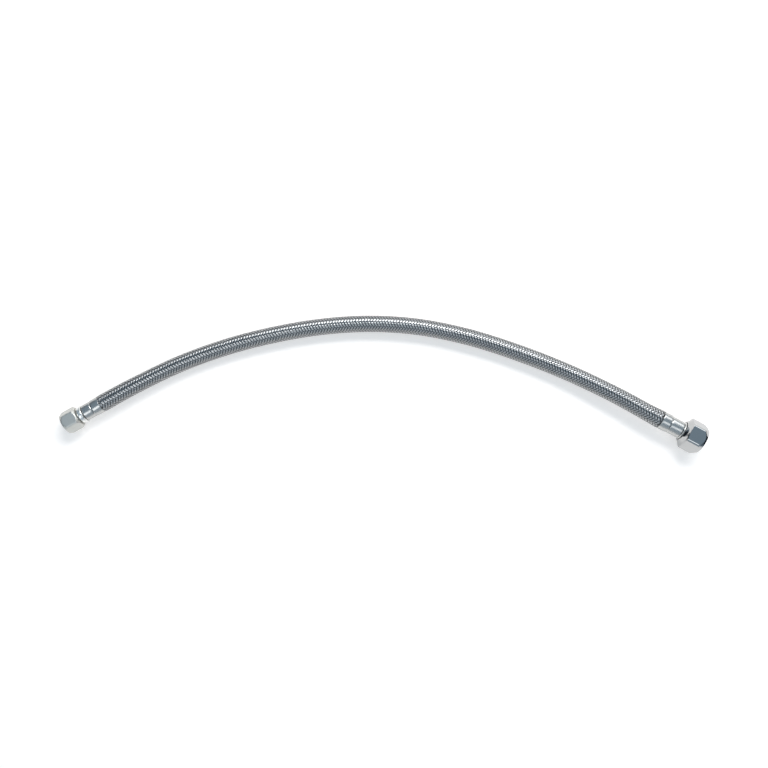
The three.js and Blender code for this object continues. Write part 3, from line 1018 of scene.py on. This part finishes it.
@dataclass
class BraidSleeve:
    """The sleeve of flat strands, each over two and under two, woven flat and rolled round the hose."""

    route: Route
    strands: int = 12
    pitch: float = 28.8
    middle_radius: float = 6.52
    thickness: float = 0.32
    width: float = 1.8
    lift: float = 0.16
    phase: float = -25.5
    flatness: float = 1.9
    flat_underside: float = 0.9
    tuck: float = 1.4
    dive: float = 0.3
    clearance: float = 0.35
    # how far before the faucet ferrule's mouth a painted shadow darkens the strands
    mouth_shadow_reach: float = 1.8
    valve_bell: Pairs = ((0.5, 0.15), (1.2, 0.28), (5.0, 0.26), (14.0, 0.16), (40.0, 0.0))
    faucet_bell: Pairs = ((-45.0, 0.0), (-14.0, 0.2), (-5.0, 0.45), (-1.2, 0.72), (-0.5, 0.6))
    section: int = 8
    steps_per_crossing: int = 3
    pieces_per_lay: int = 2

    def swell(self, along: np.ndarray) -> np.ndarray:
        """How far the sleeve stands out from its usual radius, as it swells before each ferrule.

        Args:
            along: distances from the valve end's mouth.

        Returns:
            The distances from the usual radius.
        """
        last = self.route.length
        least = self.middle_radius + self.clearance + RADIAL_GAP
        into, out_of = (end.mouth_inner - least for end in (VALVE, FAUCET))
        knots = [
            (-self.tuck, into - self.dive), (-self.dive, into), *self.valve_bell,
            *((last + at, rise) for at, rise in self.faucet_bell),
            (last + self.dive, out_of), (last + self.tuck, out_of - self.dive),
        ]
        return np.interp(along, *zip(*knots))

    def weave(self, turn: np.ndarray) -> np.ndarray:
        """The height of a falling strand.

        Args:
            turn: angles about the hose.

        Returns:
            Heights, 1 where the strand floats and -1 where it dives.
        """
        column = (turn - math.radians(self.phase)) * self.strands / math.pi
        wave = np.clip(np.cos((column - 0.5) * math.pi / 2) * self.flatness, -1.0, 1.0)
        return wave * (1.5 - 0.5 * wave**2)

    def strand_mesh(self, name: str, lay: Lay, numbers: range) -> Mesh:
        """Makes some strands of one lay.

        Args:
            name: the mesh's name.
            lay: which way they wind.
            numbers: which strands, by number.

        Returns:
            A mesh with one closed tube for each strand.
        """
        crossing = self.pitch / self.strands / 2
        start, stop = -self.tuck, self.route.length + self.tuck
        columns = int((stop - start) / crossing) * self.steps_per_crossing
        bm = bmesh.new()
        bm.loops.layers.uv.new(STRAND_MAP)
        for _ in numbers:
            bmesh.ops.create_grid(bm, x_segments=columns, y_segments=self.section, size=1.0, calc_uvs=True)
        for face in bm.faces:
            face.smooth = True
        mesh = bpy.data.meshes.new(name)
        bm.to_mesh(mesh)
        bm.free()
        co = corners(mesh).reshape(len(numbers), -1, 3)
        sign = lay.value
        spin = 2 * math.pi / self.pitch
        slope = math.atan(self.middle_radius * spin)
        along = start + (co[:, :, 0] + 1) / 2 * (stop - start)
        first = math.radians(self.phase) + 2 * math.pi / self.strands * np.array(numbers)[:, None]
        turn = first + sign * spin * along
        around = (co[:, :, 1] + 1) * math.pi
        across = -np.cos(around) * self.width / 2
        height = np.sin(around) * self.thickness / 2 * np.where(np.sin(around) > 0, 1.0, self.flat_underside)
        floating = sign * self.weave(turn)
        radius = self.middle_radius + self.swell(along) + self.lift * floating + height
        place = self.route.wrap(
            (along - sign * across * math.sin(slope)).ravel(),
            (turn + across * math.cos(slope) / self.middle_radius).ravel(),
            radius.ravel(),
        )
        mesh.vertices.foreach_set("co", place.ravel())
        # Painted shade mask: darker where a strand dives, with a painted shadow over the last stretch before
        # the faucet ferrule's mouth and inside it
        shade_mask = mesh.attributes.new(SHADE_ATTRIBUTE, "FLOAT", "POINT")
        mouth_shadow = np.clip((self.route.length - along) / self.mouth_shadow_reach, 0.0, 1.0)
        shade_mask.data.foreach_set("value", (mouth_shadow * (0.5 + 0.5 * floating)).ravel())
        mesh.update()
        return mesh

    def build(self, shop: Workshop) -> list[Object]:
        """Makes the sleeve's pieces.

        Args:
            shop: makes the pieces.

        Returns:
            The pieces, a few strands in each.
        """
        made = []
        share = self.strands // self.pieces_per_lay
        for lay in Lay:
            for part in range(self.pieces_per_lay):
                name = f"braid_{lay.name.lower()}_strands_{part + 1}"
                mesh = self.strand_mesh(name, lay, range(part * share, (part + 1) * share))
                bm = close_roll(mesh)
                bmesh.ops.recalc_face_normals(bm, faces=bm.faces)
                bm.to_mesh(mesh)
                bm.free()
                made.append(shop.dress(bpy.data.objects.new(name, mesh), "braid_steel", "hose", "hose_braid"))
        return made


# The studio

WALL_TINT = (1.0, 0.87, 0.74)


@dataclass(frozen=True)
class SoftBox:
    """One soft light.

    Attributes:
        towards: the point that it faces.
        size: its width and height.
        glow: how bright its face is, where the table is about 1.
    """

    name: str
    at: Triple
    towards: Triple
    size: tuple[float, float]
    glow: float
    tint: Triple = (1.0, 1.0, 1.0)

    def hang(self) -> None:
        """Adds the light to the scene."""
        data = bpy.data.lights.new(self.name, "AREA")
        data.shape = "RECTANGLE"
        data.size, data.size_y = self.size
        data.energy = self.glow * math.pi * self.size[0] * self.size[1]
        data.color = self.tint
        lamp = bpy.data.objects.new(self.name, data)
        lamp.location = self.at
        lamp.rotation_mode = "QUATERNION"
        lamp.rotation_quaternion = (Vector(self.towards) - Vector(self.at)).to_track_quat("-Z", "Y")
        bpy.context.scene.collection.objects.link(lamp)


SOFT_BOXES = (
    SoftBox("front_wall", (0.0, -2.4, 0.7), (0.0, 0.0, 0.3), (4.0, 1.4), 0.2, WALL_TINT),
    SoftBox("rear_wall", (0.0, 2.4, 0.7), (0.0, 0.0, 0.3), (4.0, 1.4), 0.36, WALL_TINT),
    SoftBox("back_box", (0.22, 0.86, 1.0), (0.05, 0.05, 0.0), (0.9, 0.42), 10.5),
    SoftBox("left_front_box", (-0.3, -0.6, 1.0), (-0.2, 0.0, 0.0), (0.36, 0.6), 2.3),
    SoftBox("right_end_box", (0.29, -0.17, 0.42), (0.24, 0.0, 0.0), (0.2, 0.12), 1.6),
    SoftBox("right_window", (0.66, 0.56, 0.42), (0.24, 0.0, 0.0), (0.5, 0.34), 2.0),
)


@dataclass
class Studio:
    """The pale table, the room round it and the camera."""

    floor_tint: Triple = (0.78, 0.735, 0.7)
    floor_glow: float = 0.46
    floor_size: float = 3.0
    floor_roughness: float = 0.9
    sky: Triple = (0.29, 0.38, 0.46)
    dark_sides: Triple = (0.02, 0.025, 0.035)
    dark_from: float = 0.64
    dark_to: float = 0.85
    backdrop: Triple = (0.86, 0.88, 0.9)
    camera_at: Triple = (0.0019, -0.0167, 0.6496)
    looks_at: Triple = (0.0001, 0.0346, 0.0)
    picture_right: Triple = (0.99966, 0.02607, 0.0)
    sensor: float = 36.0
    focal_pixels: float = 781.0
    picture_pixels: float = 768.0

    def camera(self) -> None:
        """Sets the camera at the photograph's place."""
        data = bpy.data.cameras.new("camera")
        data.sensor_width = self.sensor
        data.lens = self.sensor * self.focal_pixels / self.picture_pixels
        data.dof.use_dof = False
        data.clip_start, data.clip_end = 0.01, 20.0
        eye = bpy.data.objects.new("camera", data)
        back = (Vector(self.camera_at) - Vector(self.looks_at)).normalized()
        right = Vector(self.picture_right)
        right = (right - back * right.dot(back)).normalized()
        turned = Matrix((right, back.cross(right), back)).transposed().to_4x4()
        eye.matrix_world = Matrix.Translation(self.camera_at) @ turned
        bpy.context.scene.collection.objects.link(eye)
        bpy.context.scene.camera = eye

    def floor(self) -> None:
        """Lays the pale table."""
        bm = bmesh.new()
        bmesh.ops.create_grid(bm, x_segments=1, y_segments=1, size=self.floor_size)
        mesh = bpy.data.meshes.new("table_top")
        bm.to_mesh(mesh)
        bm.free()
        table = bpy.data.objects.new("table_top", mesh)
        paper = bpy.data.materials.new("pale_table")
        paper.use_nodes = True
        shader = paper.node_tree.nodes["Principled BSDF"]
        shader.inputs["Base Color"].default_value = (*self.floor_tint, 1.0)
        shader.inputs["Roughness"].default_value = self.floor_roughness
        shader.inputs["Specular IOR Level"].default_value = 0.0
        shader.inputs["Emission Color"].default_value = (1.0, 1.0, 1.0, 1.0)
        shader.inputs["Emission Strength"].default_value = self.floor_glow
        mesh.materials.append(paper)
        bpy.context.scene.collection.objects.link(table)

    def room(self) -> None:
        """Surrounds the table with a slate sky, dark at both sides, that the camera sees as a pale one."""
        world = bpy.data.worlds.new("room")
        world.use_nodes = True
        tree = world.node_tree
        around = tree.nodes["Background"]
        cut = tree.nodes.new("ShaderNodeSeparateXYZ")
        tree.links.new(tree.nodes.new("ShaderNodeTexCoord").outputs["Generated"], cut.inputs[0])
        sides = tree.nodes.new("ShaderNodeMapRange")
        sides.inputs["From Min"].default_value = self.dark_from
        sides.inputs["From Max"].default_value = self.dark_to
        tree.links.new(math_node(tree, "ABSOLUTE", cut.outputs["X"]), sides.inputs["Value"])
        tone = tree.nodes.new("ShaderNodeMix")
        tone.data_type = "RGBA"
        tone.inputs[MIX_FIRST].default_value = (*self.sky, 1.0)
        tone.inputs[MIX_SECOND].default_value = (*self.dark_sides, 1.0)
        tree.links.new(sides.outputs["Result"], tone.inputs["Factor"])
        tree.links.new(tone.outputs[MIX_RESULT], around.inputs["Color"])
        pale = tree.nodes.new("ShaderNodeBackground")
        pale.inputs["Color"].default_value = (*self.backdrop, 1.0)
        either = tree.nodes.new("ShaderNodeMixShader")
        tree.links.new(tree.nodes.new("ShaderNodeLightPath").outputs["Is Camera Ray"], either.inputs[0])
        tree.links.new(around.outputs[0], either.inputs[1])
        tree.links.new(pale.outputs[0], either.inputs[2])
        tree.links.new(either.outputs[0], tree.nodes["World Output"].inputs["Surface"])
        bpy.context.scene.world = world

    def build(self) -> None:
        """Sets up the whole studio."""
        self.camera()
        self.floor()
        self.room()
        for box in SOFT_BOXES:
            box.hang()
        bpy.context.scene.view_settings.view_transform = "Standard"


def main() -> None:
    Studio().build()
    shop = Workshop()
    route = Route()
    core = HoseCore(route)
    tube = core.build(shop)
    braid = BraidSleeve(route).build(shop)
    for size in (VALVE, FAUCET):
        Fitting(size).build(shop)
    log.info("hose between the mouths: %.1f mm", route.length)


if __name__ == "__main__":
    main()
